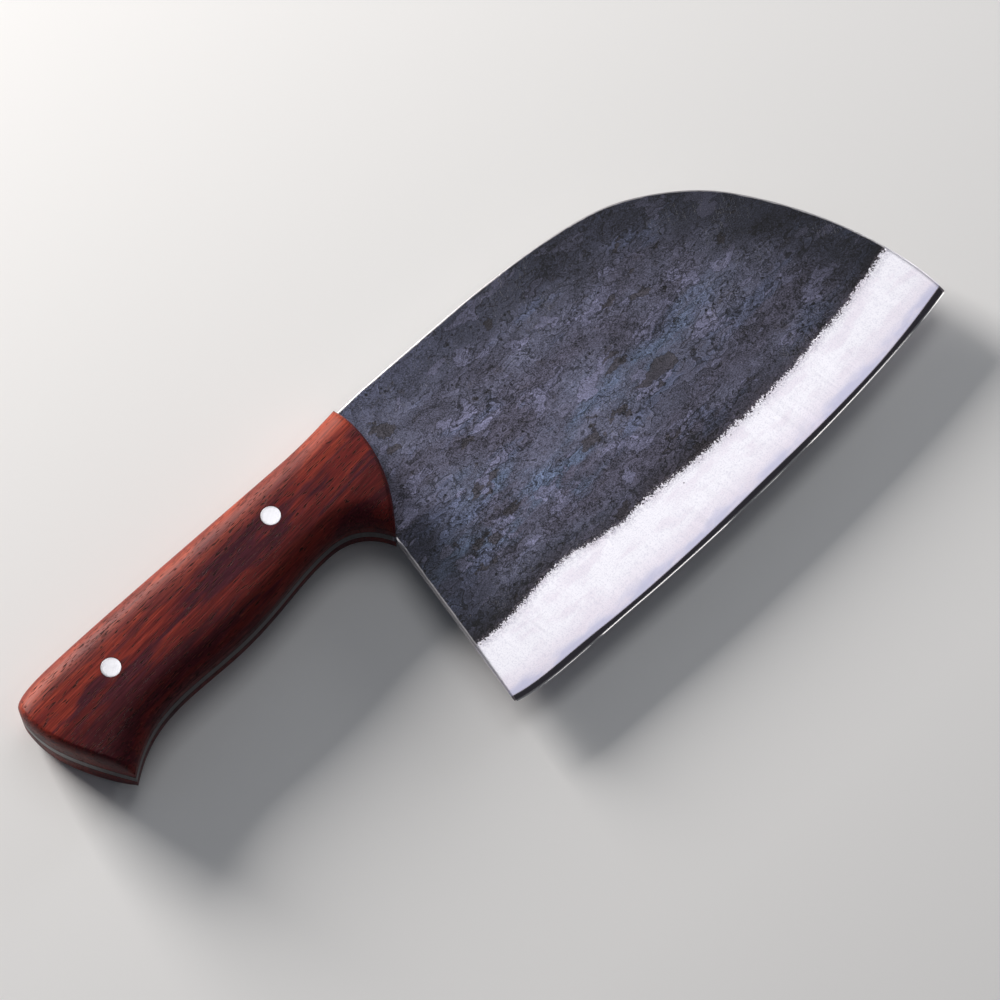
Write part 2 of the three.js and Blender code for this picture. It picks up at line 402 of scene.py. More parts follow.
def forged_skin(plan, past_band, cheek, bite, bare, seed):
    """The height of one cheek as forged: it swells a little, and is uneven where the grinding meets it."""
    away = smoothstep(2, 26, past_band)
    swell = (0.07 * field(plan, 34, seed, (1.5, 1)) - 0.05) * away
    swell = swell + 0.02 * field(plan, 8, seed + 5, (1.4, 1)) * away
    wiggle = 0.5 * field(plan, 7, seed + 5) + 0.35 * field(plan, 2.2, seed + 9)
    return cheek + (swell + bite * (wiggle - 0.3)) * bare


def honed_edge(half, from_edge, honed):
    """The half thickness with the honed bevel and its burr line cut into it."""
    start = HONED_HALF - HONED_STEP
    half = np.where(from_edge < honed, start - (honed - from_edge) * HONED_SLOPE, half)
    at_burr = start - (honed - BURR_WIDTH) * HONED_SLOPE
    half = np.where(from_edge < BURR_WIDTH, at_burr - (BURR_WIDTH - from_edge) * BURR_SLOPE, half)
    return np.maximum(half, APEX_HALF)


def softened(half, gaps):
    """The half thickness worn down along the sides; gaps pairs a distance with where that side is worn."""
    worn = 0 * half
    for gap, where in gaps:
        worn = np.maximum(worn, where * np.interp(gap, SIDE_SOFTENING, SOFTENED_BY))
    return half - worn * np.clip(half / 1.2, 0, 1)


def add_tang(shape, shares, top, low):
    """Adds the tang, which shares the blade's root column from the handle's corner to the spine, and gives
    how many points each of its faces has. top and low are that column's point numbers."""
    root = handle_back.share_of(SPINE_ROOT)
    back = handle_back.at(np.linspace(0, root, TANG_BACK_POINTS))
    back = Outline(np.vstack([back, SPINE_ROOT]))
    root_line = Outline(line(HANDLE_CORNER, SPINE_ROOT))
    rise = (shares - shares[0]) / (1 - shares[0])
    along = np.linspace(0, 1, TANG_COLUMNS + 1)[:-1]
    plan = patch(handle_belly, back, handle_butt, root_line, along[:, None], rise[None, :])
    x, y = plan[..., 0], plan[..., 1]
    flat = np.full(x.shape, TANG_HALF)
    tang_top = shape.add(np.dstack([x, y, flat])).reshape(flat.shape)
    tang_low = shape.add(np.dstack([x, y, -flat])).reshape(flat.shape)
    tang_top = np.vstack([tang_top, top])
    tang_low = np.vstack([tang_low, low])
    shape.sheet(tang_top, flip=False)
    shape.sheet(tang_low, flip=True)
    shape.band(tang_low[:, 0], tang_top[:, 0])
    shape.band(tang_low[0, ::-1], tang_top[0, ::-1])
    shape.band(tang_low[::-1, -1], tang_top[::-1, -1])
    return x.size


def forged_blade():
    u, v, height, honed, corner_row = blade_rows()
    plan = patch(cutting_edge, spine, choil, nose, u[:, None], v)
    x, y = plan[..., 0], plan[..., 1]
    from_edge = v * height[:, None]
    from_spine, from_choil, from_nose = (distance_to(side, plan) for side in (spine, choil, nose))
    bare = smoothstep(-4, 3, x)
    below_handle = smoothstep(0, 4, -y - 42)
    gaps = ((from_spine, bare), (from_choil, below_handle), (from_nose, 1 + 0 * x))

    cheek = TANG_HALF - TAPER_FORWARD * np.maximum(0, x) + TAPER_DOWN * np.minimum(0, y)
    depth = eased(u, GRIND_DEPTH_AT, GRIND_DEPTH)[:, None]
    honed = honed[:, None]
    plane, slope = grinding_plane(from_edge, depth, honed, cheek)
    bite = slope - TAPER_DOWN
    heights, insides = [], []
    for seed in (3.7, 41.3):
        skin = forged_skin(plan, from_edge - depth, cheek, bite, bare, seed)
        half = honed_edge(np.minimum(skin, plane), from_edge, honed)
        heights.append(softened(half, gaps))
        insides.append(np.clip((skin - plane) / bite, -INSIDE_LIMIT, INSIDE_LIMIT))

    shape = Builder()
    top = shape.add(np.dstack([x, y, heights[0]])).reshape(x.shape)
    low = shape.add(np.dstack([x, y, -heights[1]])).reshape(x.shape)
    shape.sheet(top, flip=False)
    shape.sheet(low, flip=True)
    shape.band(low[:, 0], top[:, 0])
    shape.band(low[-1], top[-1])
    shape.band(low[::-1, -1], top[::-1, -1])
    shape.band(low[0, corner_row::-1], top[0, corner_row::-1])
    tang_points = 2 * add_tang(shape, v[0, corner_row:], top[0, corner_row:], low[0, corner_row:])

    rim = np.minimum(np.minimum(from_spine, from_nose), np.where(y < HANDLE_CORNER[1], from_choil, FAR))
    both_faces = {
        "inside": (*insides, -INSIDE_LIMIT),
        "from_edge": (from_edge, from_edge, FAR),
        "rim": (rim, rim, 0),
        "honed": (honed + 0 * x, honed + 0 * x, 0),
        "tang": (0 * x, 0 * x, 1),
    }
    for name, (on_top, below, on_tang) in both_faces.items():
        tang = np.full(tang_points, float(on_tang))
        shape.numbers[name] = np.concatenate([on_top.ravel(), below.ravel(), tang])
    return shape.build("forged_blade", FORGED_SHARP)


# ------------------------------------------------------------------ handle scales and bond films

SIDE_ROUND = 8
END_ROUND = 2
ROUND_DEPTH = 4.5
EASED_BY = 0.12
WALL_LIFTS = (0.14, 1.6, 3.2)
BOND_INSET = 0.1
BOND_GAP = 0.002
ROUND_STEPS = 12
GRIP_CROWN = 2
GRIP_FLAT = 0.25
HANDLE_COLUMNS = 110
HANDLE_ROWS = 26


def rounded_shares(length, radius, middle):
    """Shares of a length, packed at both ends to follow a round of the given radius."""
    steps = 1 - np.cos(np.linspace(0, math.pi / 2, ROUND_STEPS + 1))
    start = steps[:-1] * radius / length
    span = np.linspace(radius / length, 1 - radius / length, middle + 1)
    return np.concatenate([start, span, (1 - start)[::-1]])


def handle_grid(inset=0.0):
    """Plan points of the handle, packed at its rounded sides, with how far each is from the ends and from the
    sides, and its share across."""
    length = handle_back.length
    u = rounded_shares(length, END_ROUND, HANDLE_COLUMNS)
    width = np.linalg.norm(handle_belly.at(u) - handle_back.at(u), axis=1)
    v = np.array([rounded_shares(w, SIDE_ROUND, HANDLE_ROWS) for w in width])
    inset_u = (inset / length + u * (1 - 2 * inset / length))[:, None]
    inset_v = (inset / width)[:, None] + v * (1 - 2 * inset / width)[:, None]
    plan = patch(handle_belly, handle_back, handle_butt, handle_front, inset_u, inset_v)
    end_gap = np.minimum(u, 1 - u)[:, None] * length + 0 * v
    side_gap = np.minimum(v, 1 - v) * width[:, None]
    return plan, end_gap, side_gap, v


def risen(gap, radius):
    """How far up a round has come, from 0 to 1, at a gap from its outside."""
    short = np.clip(1 - gap / radius, 0, 1)
    return np.sqrt(1 - short**2)


def crown_drop(v):
    """How far the face has dropped at a share across the grip, which is flat along its middle."""
    return GRIP_CROWN * (np.maximum(0, np.abs(2 * v - 1) - GRIP_FLAT) / (1 - GRIP_FLAT)) ** 2


def face_height(end_gap, side_gap, v):
    """Height of a scale's outer face: crowned across the grip, and rounded at its sides and ends."""
    rise = risen(end_gap, END_ROUND) * risen(side_gap, SIDE_ROUND)
    return SCALE_OUTER - crown_drop(v) - ROUND_DEPTH * (1 - rise)


def slab(name, side, outer, walls, inner):
    """A closed piece between an outer and an inner grid, with rows of wall points between them."""
    shape = Builder()
    columns, rows = outer.shape[0] - 1, outer.shape[1] - 1
    border = ring(columns, rows)
    numbers = []
    for grid in (outer, inner):
        grid = grid * np.array([1, 1, side])
        numbers.append(shape.add(grid).reshape(columns + 1, rows + 1))
    shape.sheet(numbers[0], flip=side < 0)
    shape.sheet(numbers[1], flip=side > 0)
    loops = [np.array([numbers[1][at] for at in border])]
    for wall in walls:
        points = np.array([wall[at] for at in border]) * np.array([1, 1, side])
        loops.append(shape.add(points))
    loops.append(np.array([numbers[0][at] for at in border]))
    for lower, upper in zip(loops, loops[1:]):
        if side > 0:
            shape.band(lower, upper, closed=True)
        else:
            shape.band(upper, lower, closed=True)
    return shape.build(name)


def with_height(plan, height):
    return np.dstack([plan[..., 0], plan[..., 1], height + 0 * plan[..., 0]])


def wood_scale(name, side, seed):
    plan, end_gap, side_gap, v = handle_grid()
    height = face_height(end_gap, side_gap, v)
    inside = smoothstep(0, 3, np.minimum(end_gap, side_gap))
    height = height + inside * 0.04 * (field(plan, 18, seed) - 0.6)
    pulled_in, *_ = handle_grid(EASED_BY)
    outer = with_height(plan, height)
    inner = with_height(pulled_in, SCALE_INNER)
    walls = [with_height(plan, SCALE_INNER + lift) for lift in WALL_LIFTS]
    return slab(name, side, outer, walls, inner)


def bond_film(name, side):
    plan, *_ = handle_grid(BOND_INSET)
    outer = with_height(plan, SCALE_INNER - BOND_GAP)
    return slab(name, side, outer, [], with_height(plan, TANG_HALF + BOND_GAP))


# ------------------------------------------------------------------ rivets

RIVET_PLACES = {"front": (-39.1, -14.2), "rear": (-103.6, -17.2)}
HEAD_RADIUS = 3
HEAD_DEPTH = 2.5
BARREL_RADIUS = 2
BORE_RADIUS = 1.35
PIN_RADIUS = 1.2
HOLE_GAP = 0.09
SEAT = SCALE_OUTER - HEAD_DEPTH
HEAD_TOP = SCALE_OUTER - 0.04

# The ground head from its axis out, as radius and height: a faint dome and a narrow rounded rim.
HEAD_PROFILE = [
    (0, HEAD_TOP + 0.02),
    (1.2, HEAD_TOP + 0.017),
    (2.2, HEAD_TOP + 0.007),
    (2.86, HEAD_TOP - 0.006),
    (2.95, HEAD_TOP - 0.03),
    (HEAD_RADIUS, HEAD_TOP - 0.09),
    (HEAD_RADIUS, SEAT),
]
BARREL_END = 0.3 - SEAT
BORE_END = SEAT - 0.5
PIN_END = 1 - SEAT


def rivet_barrel(name, place):
    shank = [(BARREL_RADIUS, SEAT), (BARREL_RADIUS, BARREL_END)]
    bore = [(BORE_RADIUS, BARREL_END), (BORE_RADIUS, BORE_END), (0, BORE_END)]
    return turned(name, (HEAD_PROFILE + shank + bore)[::-1], place)


def rivet_pin(name, place):
    profile = HEAD_PROFILE + [(PIN_RADIUS, SEAT), (PIN_RADIUS, PIN_END), (0, PIN_END)]
    return turned(name, [(radius, -height) for radius, height in profile], place)


# ------------------------------------------------------------------ shader helpers

OUTSIDE_SPOTS = -9.0


class Shader:
    """A node material, written as expressions over sockets. Lengths inside are in millimetres."""

    def __init__(self, name, color, roughness, metallic, grain_turn=0):
        self.grain_turn = grain_turn
        self.material = bpy.data.materials.new(name)
        self.material.use_nodes = True
        self.material.diffuse_color = (*color, 1)
        self.tree = self.material.node_tree
        self.surface = self.tree.nodes["Principled BSDF"]
        self.surface.inputs["Base Color"].default_value = (*color, 1)
        self.surface.inputs["Roughness"].default_value = roughness
        self.surface.inputs["Metallic"].default_value = metallic
        shifted = self.vector("SUBTRACT", self.node("TexCoord").outputs["Object"], tuple(datum))
        self.place = self.vector("SCALE", shifted, scale=1 / MM)

    def put(self, socket, value):
        """Sets a socket to a value, or links another socket to it."""
        if isinstance(value, bpy.types.NodeSocket):
            self.tree.links.new(value, socket)
        elif isinstance(value, tuple) and socket.type == "RGBA":
            socket.default_value = (*value, 1)
        else:
            socket.default_value = value

    def node(self, kind, **values):
        """A new node, with sockets linked or set by name."""
        node = self.tree.nodes.new("ShaderNode" + kind)
        for name, value in values.items():
            self.put(node.inputs[name], value)
        return node

    def vector(self, operation, a, b=None, scale=None):
        node = self.node("VectorMath")
        node.operation = operation
        self.put(node.inputs[0], a)
        if b is not None:
            self.put(node.inputs[1], b)
        if scale is not None:
            self.put(node.inputs["Scale"], scale)
        return node.outputs["Vector"]

    def math(self, operation, a, b=None):
        node = self.node("Math")
        node.operation = operation
        self.put(node.inputs[0], a)
        if b is not None:
            self.put(node.inputs[1], b)
        return node.outputs[0]

    def add(self, *terms):
        total = terms[0]
        for term in terms[1:]:
            total = self.math("ADD", total, term)
        return total

    def times(self, *terms):
        total = terms[0]
        for term in terms[1:]:
            total = self.math("MULTIPLY", total, term)
        return total

    def less(self, a, b):
        return self.math("SUBTRACT", a, b)

    def swing(self, noise, size):
        """How far a noise stands from its middle, from about -size / 2 to size / 2."""
        return self.times(self.less(noise, 0.5), size)

    def rise(self, value, low, high, to_low=0.0, to_high=1.0, smooth=True):
        """Goes from to_low to to_high as the value goes from low to high, and stays there outside."""
        node = self.node("MapRange")
        node.interpolation_type = "SMOOTHSTEP" if smooth else "LINEAR"
        node.clamp = True
        for socket, number in zip(node.inputs, (value, low, high, to_low, to_high)):
            self.put(socket, number)
        return node.outputs[0]

    def stretched(self, along, across, turn=0.0, shift=(0, 0, 0)):
        """The place turned about Z and scaled so that noise runs longer along than across."""
        rotation = (0, 0, math.radians(turn))
        scale = (along, across, across)
        node = self.node("Mapping", Vector=self.place, Location=shift, Rotation=rotation, Scale=scale)
        node.vector_type = "TEXTURE"
        return node.outputs[0]

    def drawn(self, along, across, shift=(0, 0, 0)):
        """The place stretched along the grain."""
        return self.stretched(along, across, self.grain_turn, shift)

    def noise(self, place, detail, roughness):
        node = self.node("TexNoise", Vector=place, Scale=1, Detail=detail, Roughness=roughness)
        return node.outputs["Fac"]

    def warp(self, place, detail):
        """A noise vector, for pushing places about."""
        node = self.node("TexNoise", Vector=place, Scale=1, Detail=detail)
        return self.vector("SUBTRACT", node.outputs["Color"], (0.5, 0.5, 0.5))

    def pushed(self, place, warp, share):
        return self.vector("ADD", place, self.vector("SCALE", warp, scale=share))

    def cells(self, place):
        """Distance to the nearest of scattered points, and that point's own random number."""
        node = self.node("TexVoronoi", Vector=place, Scale=1)
        split = self.node("SeparateColor", Color=node.outputs["Color"])
        return node.outputs["Distance"], split.outputs[0]

    def terraces(self, field, steps):
        """Cuts a field into steps: each step's own random tone, how near (0 to 0.5) its outline is, and how
        far through the step (0 to 1) the field has come."""
        level = self.times(field, steps)
        node = self.node("TexWhiteNoise")
        node.noise_dimensions = "1D"
        self.put(node.inputs["W"], self.math("FLOOR", level))
        return node.outputs["Value"], self.math("PINGPONG", level, 0.5), self.math("FRACT", level)

    def spots(self, spacing, kept, small, large):
        """Scattered round spots: how deep inside its spot a place is, in mm, below zero outside. kept is the
        share of the scattered points that have a spot, and small and large bound its radius."""
        gap, pick = self.cells(self.stretched(spacing, spacing, 0, (spacing, 2 * spacing, 0)))
        radius = self.rise(pick, 1 - kept, 1.0, small, large, smooth=False)
        inside = self.less(radius, self.times(gap, spacing))
        chosen = self.math("GREATER_THAN", pick, 1 - kept)
        return self.blend(chosen, OUTSIDE_SPOTS, inside)

    def cracks(self, place, width):
        """Thin lines between irregular cells."""
        node = self.node("TexVoronoi", Vector=place, Scale=1)
        node.feature = "DISTANCE_TO_EDGE"
        return self.rise(node.outputs["Distance"], width, width * 0.3)

    def tint(self, color, shade):
        return self.vector("SCALE", color, scale=shade)

    def mix(self, share, a, b):
        """Between two colours."""
        node = self.node("Mix")
        node.data_type = "RGBA"
        self.put(node.inputs["Factor"], share)
        first, second = (socket for socket in node.inputs if socket.type == "RGBA")
        self.put(first, a)
        self.put(second, b)
        return next(socket for socket in node.outputs if socket.type == "RGBA")

    def coated(self, color, *coats):
        """A colour with others laid over it in turn, each by its own share."""
        for share, coat in coats:
            color = self.mix(share, color, coat)
        return color

    def blend(self, share, a, b):
        """Between two numbers."""
        return self.add(self.times(share, self.less(b, a)), a)

    def inverse(self, share):
        return self.less(1.0, share)

    def number(self, name):
        """A named number from the piece's points."""
        node = self.node("Attribute")
        node.attribute_name = name
        return node.outputs["Fac"]

    def axis(self, letter):
        return self.node("SeparateXYZ", Vector=self.place).outputs[letter]

    def finish(self, color, roughness, height, depth, metallic=None):
        """Sets the surface. height is in shares of depth, which is how far a height of one stands out."""
        self.put(self.surface.inputs["Base Color"], color)
        self.put(self.surface.inputs["Roughness"], roughness)
        if metallic is not None:
            self.put(self.surface.inputs["Metallic"], metallic)
        bump = self.node("Bump", Strength=1, Distance=depth * MM, Height=height)
        self.put(self.surface.inputs["Normal"], bump.outputs[0])
        return self.material


# ------------------------------------------------------------------ forged steel
# Each function below adds named fields to f, or gives a colour or a number made from them. A field is mostly
# a share from 0 to 1. Colours are linear.

FORGED_TURN = 3
FORGED_DEPTH = 0.03

VIOLET_SCALE = (0.082, 0.078, 0.118)
SLATE_SCALE = (0.092, 0.096, 0.146)
SPINE_SCALE = (0.054, 0.061, 0.105)
BROWN_SCALE = (0.068, 0.06, 0.076)
BLUE_SCALE = (0.098, 0.132, 0.215)
DRAWN_SCALE = (0.088, 0.106, 0.182)
PLATE_SCALE = (0.142, 0.142, 0.224)
BALD_STEEL = (0.048, 0.043, 0.052)
SINGED_SCALE = (0.088, 0.072, 0.094)
SKIMMED_STEEL = (0.18, 0.15, 0.175)
BARE_STEEL = (0.62, 0.6, 0.62)
LOW_SATIN = (0.52, 0.51, 0.66)
MIDDLE_SATIN = (0.78, 0.73, 0.8)
HIGH_SATIN = (0.84, 0.82, 0.87)
HAZY_SATIN = (0.72, 0.65, 0.73)
STREAKED_SATIN = (0.62, 0.62, 0.7)
SCRATCHED_SATIN = (0.5, 0.5, 0.58)
SPECKLED_SATIN = (0.52, 0.5, 0.6)
FADED_SATIN = (0.46, 0.44, 0.52)
# Painted shade: the honed bevel's steel is darkened to stand for the dark surroundings it reflects.
HONED_STEEL_PAINTED_DARK = (0.22, 0.195, 0.215)
APEX_STEEL = (0.9, 0.87, 0.85)
# Painted shade for the tang strip on the belly side and along the handle.
TANG_PAINTED_SHADE = (0.085, 0.08, 0.084)
TANG_BRIGHT = (0.42, 0.405, 0.41)


def scale_noises(s, f):
    """Forge scale, from broad drawn-out clouds down to grit."""
    f.clouds = s.noise(s.drawn(46, 22), 3, 0.55)
    f.drift = s.noise(s.drawn(26, 8, (7, 2, 3)), 5, 0.62)
    f.mottle = s.noise(s.drawn(3.6, 2.4, (1, 5, 2)), 5, 0.66)
    f.grain = s.noise(s.drawn(0.62, 0.5), 2, 0.7)
    f.grit = s.noise(s.stretched(0.36, 0.36), 1, 0.5)
    f.jag = s.warp(s.stretched(1.8, 1.5), 3)


def jagged(s, f, along, across, shift, push, detail, roughness):
    """A noise whose outlines are ragged."""
    place = s.pushed(s.drawn(along, across, shift), f.jag, push)
    return s.noise(place, detail, roughness)


def scale_layers(s, f):
    """Layers of scale with ragged outlines, small chips in some areas, and thin cracks in others."""
    f.layers, layer_gap, layer_share = s.terraces(jagged(s, f, 15, 8, (9, 4, 1), 0.2, 2, 0.45), 11)
    f.chips, chip_gap, chip_share = s.terraces(jagged(s, f, 5, 3.2, (2, 9, 6), 0.4, 2, 0.45), 6)
    f.chipped = s.rise(s.noise(s.drawn(20, 12, (5, 3, 8)), 4, 0.6), 0.48, 0.56)
    f.layer_line = s.times(s.rise(layer_gap, 0.14, 0.03), s.rise(f.drift, 0.42, 0.55))
    # Painted highlight: a thin lighter line along one side of each layer and chip outline, where a lit step
    # would catch the light.
    layer_lip = s.times(s.rise(layer_share, 0.1, 0.16), s.rise(layer_share, 0.36, 0.22))
    f.layer_lip = s.times(layer_lip, s.rise(f.drift, 0.44, 0.56))
    f.chip_line = s.times(s.rise(chip_gap, 0.16, 0.04), f.chipped)
    f.chip_lip = s.times(s.rise(chip_share, 0.12, 0.18), s.rise(chip_share, 0.4, 0.26), f.chipped)
    crack = s.cracks(s.pushed(s.drawn(6.5, 4), f.jag, 0.9), 0.05)
    cracked = s.noise(s.drawn(16, 10, (6, 6, 6)), 4, 0.6)
    f.crack = s.times(crack, s.rise(cracked, 0.5, 0.6))


def scale_patches(s, f):
    """Smooth plates, and bald patches where the scale has come away."""
    plate_field = jagged(s, f, 15, 7, (31, 14, 1), 0.18, 3, 0.5)
    bald_field = jagged(s, f, 14, 8, (19, 8, 5), 0.22, 3, 0.55)
    f.plate = s.rise(plate_field, 0.585, 0.59)
    f.bald = s.rise(bald_field, 0.65, 0.655)
    plate_gap = s.math("ABSOLUTE", s.less(plate_field, 0.586))
    bald_gap = s.math("ABSOLUTE", s.less(bald_field, 0.65))
    f.patch_line = s.rise(s.math("MINIMUM", plate_gap, bald_gap), 0.009, 0.002)
    f.smooth_skin = s.times(f.plate, 0.7)


def scale_pits(s, f):
    """Pinholes in clusters, and a few large pits with a raised rim."""
    ragged = s.swing(f.grain, 1.6)
    pinhole = s.add(s.spots(1.6, 0.2, 0.2, 0.5), s.times(ragged, 0.5))
    f.pinhole = s.times(s.rise(pinhole, -0.06, 0.1), s.rise(f.drift, 0.44, 0.52))
    crater = s.add(s.spots(9, 0.26, 0.45, 1.05), ragged)
    f.hollow = s.times(s.rise(crater, 0.0, 0.14), s.rise(crater, 0.62, 0.36, 0.35, 1.0))
    f.crater_rim = s.times(s.rise(crater, -0.34, -0.12), s.rise(crater, 0.12, -0.04))


def blue_streak(s, f):
    """A drawn-out blue streak, well above the ground band."""
    height = s.less(f.from_edge, s.add(45.0, s.swing(f.clouds, 60.0)))
    blue = s.times(s.rise(height, -5, 1), s.rise(height, 17, 3), s.rise(f.drift, 0.4, 0.54))
    blue = s.times(blue, s.rise(f.forward, 128, 84))
    broken = s.noise(s.drawn(30, 3.6, (2, 7, 7)), 5, 0.6)
    return s.times(blue, s.rise(broken, 0.4, 0.56, 0.35, 1.0))


def scale_color(s, f):
    near_spine = s.rise(s.add(f.rim, s.swing(f.clouds, 30.0)), 22, 4)
    return s.coated(
        s.mix(s.rise(f.clouds, 0.38, 0.62), VIOLET_SCALE, SLATE_SCALE),
        (s.times(near_spine, 0.6), SPINE_SCALE),
        (s.rise(f.mottle, 0.44, 0.32, 0.0, 0.5), BROWN_SCALE),
        (s.times(blue_streak(s, f), 0.85), BLUE_SCALE),
        (s.rise(f.drift, 0.55, 0.66, 0.0, 0.6), DRAWN_SCALE),
        (s.times(f.plate, 0.75), PLATE_SCALE),
        (s.times(f.bald, 0.85), BALD_STEEL),
        (s.rise(f.inside, -12, -1, 0.0, 0.45), SINGED_SCALE),
    )


def scale_shade(s, f):
    """How light the scale is: its noises, painted highlights along its lips and across the middle, then its
    dark lines and pits, and painted shade.
    """
    rough_skin = s.inverse(f.smooth_skin)
    # Painted highlight: the scale is a little lighter in a broad band across the middle of the cheek.
    middle = s.times(s.rise(f.forward, 10, 60), s.rise(f.forward, 125, 75))
    middle = s.times(middle, s.rise(f.from_edge, 22, 42), s.rise(f.from_edge, 82, 55))
    shade = s.add(
        1.1,
        s.times(middle, 0.06),
        s.swing(f.clouds, 1.6),
        s.swing(f.layers, 0.44),
        s.times(s.swing(f.chips, 0.52), f.chipped),
        s.times(s.swing(f.mottle, 1.1), rough_skin),
        s.times(s.swing(f.grain, 3.0), rough_skin),
        s.swing(f.grit, 2.9),
        # painted highlights along the lips of the layers and chips
        s.times(f.layer_lip, 0.5),
        s.times(f.chip_lip, 0.5),
        s.times(f.crater_rim, 0.8),
    )
    lines = ((f.layer_line, 0.62), (f.chip_line, 0.56), (f.crack, 0.7), (f.patch_line, 0.55))
    pits = ((f.pinhole, 0.85), (f.hollow, 0.9))
    for mark, strength in lines + pits:
        shade = s.times(shade, s.inverse(s.times(mark, strength)))
    return s.math("MAXIMUM", with_painted_shade(s, f, shade), 0.06)


def with_painted_shade(s, f, shade):
    """The shade, with painted shade laid on it: darker above the band, towards the nose, along the rim and at
    the heel.
    """
    swirl = s.swing(f.drift, 30.0)
    forward = s.add(f.forward, swirl)
    # Painted shade: darker just above the band, towards the nose, along the rim, and at the heel below the
    # handle's front.
    painted_shade_by = (
        s.times(s.rise(s.add(f.inside, swirl), -26, -5), s.rise(f.forward, 90, 10, 0.34, 0.58)),
        s.rise(forward, 52, 78, 0.0, 0.2),
        s.rise(forward, 96, 146, 0.0, 0.26),
        s.times(s.rise(s.add(f.rim, swirl), 28, 6), s.rise(f.forward, 5, 60, 0.2, 0.62)),
        s.times(s.rise(forward, 14, -16), s.rise(f.from_edge, 75, 55, 0.0, 0.45)),
    )
    for painted_shade_share in painted_shade_by:
        shade = s.times(shade, s.inverse(painted_shade_share))
    return shade


def worn_metal(s, f):
    """Worn arrises, where bare metal shows, and a few bright scratches and nicks."""
    wear = s.add(f.rim, s.swing(s.noise(s.stretched(6, 6), 5, 0.7), 0.8))
    worn = s.rise(wear, 0.75, 0.4)
    scratch = s.math("ABSOLUTE", s.less(s.noise(s.stretched(16, 0.9, 62), 3, 0.5), 0.5))
    scratch = s.times(s.rise(scratch, 0.003, 0.0), s.rise(f.clouds, 0.54, 0.62))
    nick = s.times(s.rise(f.grit, 0.72, 0.8), s.rise(f.grain, 0.55, 0.65))
    f.bright = s.math("MAXIMUM", worn, s.math("MAXIMUM", s.times(scratch, 0.4), s.times(nick, 0.5)))


def ground_band(s, f):
    """The ground band, where the grinding plane has cut below the forged skin, and the bare tang."""
    fray = s.noise(s.stretched(0.45, 0.62, 18), 1, 0.6)
    bite = s.noise(s.stretched(2, 1.4, 10, (4, 4, 4)), 4, 0.75)
    ragged = s.add(f.inside, s.swing(fray, 5.0), s.swing(bite, 2.6))
    fleck = s.times(s.rise(s.spots(1.1, 0.2, 0.12, 0.36), -0.05, 0.08), s.rise(f.inside, 6.5, 3.5))
    flecked = s.noise(s.stretched(9, 7, 0, (3, 3, 1)), 3, 0.6)
    fleck = s.times(fleck, s.rise(flecked, 0.56, 0.62), s.rise(f.inside, 0.5, 1.5))
    ground = s.times(s.rise(ragged, -0.2, 0.2), s.inverse(s.times(fleck, 0.9)))
    f.tang = s.rise(s.number("tang"), 0.3, 0.9)
    f.ground = s.math("MAXIMUM", ground, f.tang)
    f.skim = s.times(s.rise(ragged, -2.6, 0.0), s.rise(f.grain, 0.4, 0.62), 0.6)
    in_honed = s.rise(s.less(f.from_edge, s.number("honed")), 0.5, -0.1)
    f.in_honed = s.times(in_honed, s.inverse(f.tang))
    f.streak = s.noise(s.stretched(0.6, 24, 8), 4, 0.6)
    f.hair = s.noise(s.stretched(0.16, 9, 5), 3, 0.6)
    f.speckle = s.noise(s.stretched(0.45, 0.45), 2, 0.7)
    f.faded = s.times(s.rise(f.inside, 3.4, 0.2), s.rise(f.speckle, 0.6, 0.4))


def satin_color(s, f):
    haze = s.noise(s.stretched(14, 5, 4), 4, 0.6)
    lower = s.add(f.from_edge, s.swing(haze, 7.0))
    apex = s.times(s.rise(f.from_edge, 0.46, 0.34), s.inverse(f.tang))
    # Painted shade: the bare tang strip is dark on the belly side and along most of the handle, and
    # satin-bright only on the spine side near the blade.
    tang_painted_light = s.times(s.rise(f.forward, -62, -10), s.rise(s.axis("Y"), -14, -4))
    strip = s.mix(tang_painted_light, TANG_PAINTED_SHADE, TANG_BRIGHT)
    return s.coated(
        s.mix(s.rise(lower, 2.2, 6.0), LOW_SATIN, MIDDLE_SATIN),
        (s.rise(lower, 5, 10.5), HIGH_SATIN),
        (s.rise(haze, 0.46, 0.64, 0.0, 0.55), HAZY_SATIN),
        (s.rise(f.streak, 0.4, 0.75, 0.0, 0.16), STREAKED_SATIN),
        (s.rise(f.hair, 0.5, 0.75, 0.0, 0.16), SCRATCHED_SATIN),
        (s.rise(f.speckle, 0.55, 0.3, 0.0, 0.45), SPECKLED_SATIN),
        (s.times(f.faded, 0.6), FADED_SATIN),
        # the honed bevel, darkened as painted shade
        (f.in_honed, HONED_STEEL_PAINTED_DARK),
        (apex, APEX_STEEL),
        (f.tang, s.tint(strip, s.add(0.6, f.streak))),
    )


def steel_roughness(s, f):
    scale = s.add(0.38, s.times(f.grain, 0.2), s.times(f.bald, 0.12), s.times(f.smooth_skin, -0.1))
    satin = s.add(0.26, s.times(f.streak, 0.1), s.times(f.faded, 0.1), s.times(f.tang, 0.15))
    satin = s.blend(f.in_honed, satin, 0.14)
    return s.blend(f.bright, s.blend(f.ground, scale, satin), 0.38)


def steel_height(s, f):
    skin = s.add(
        s.times(f.plate, 0.35),
        s.times(f.layers, 0.25),
        s.times(f.chips, f.chipped, 0.25),
        s.times(f.mottle, 1.0),
        s.times(f.grain, 0.8),
        s.times(f.crater_rim, 0.4),
    )
    dents = s.add(
        s.times(f.hollow, 2.0),
        s.times(f.pinhole, 1.0),
        s.times(s.math("MAXIMUM", f.layer_line, f.chip_line), 0.35),
        s.times(f.bald, 0.5),
    )
    marks = s.times(s.add(s.times(f.streak, 0.05), s.times(f.hair, 0.05)), s.inverse(f.in_honed))
    return s.blend(f.ground, s.add(s.less(skin, dents), 0.4), marks)


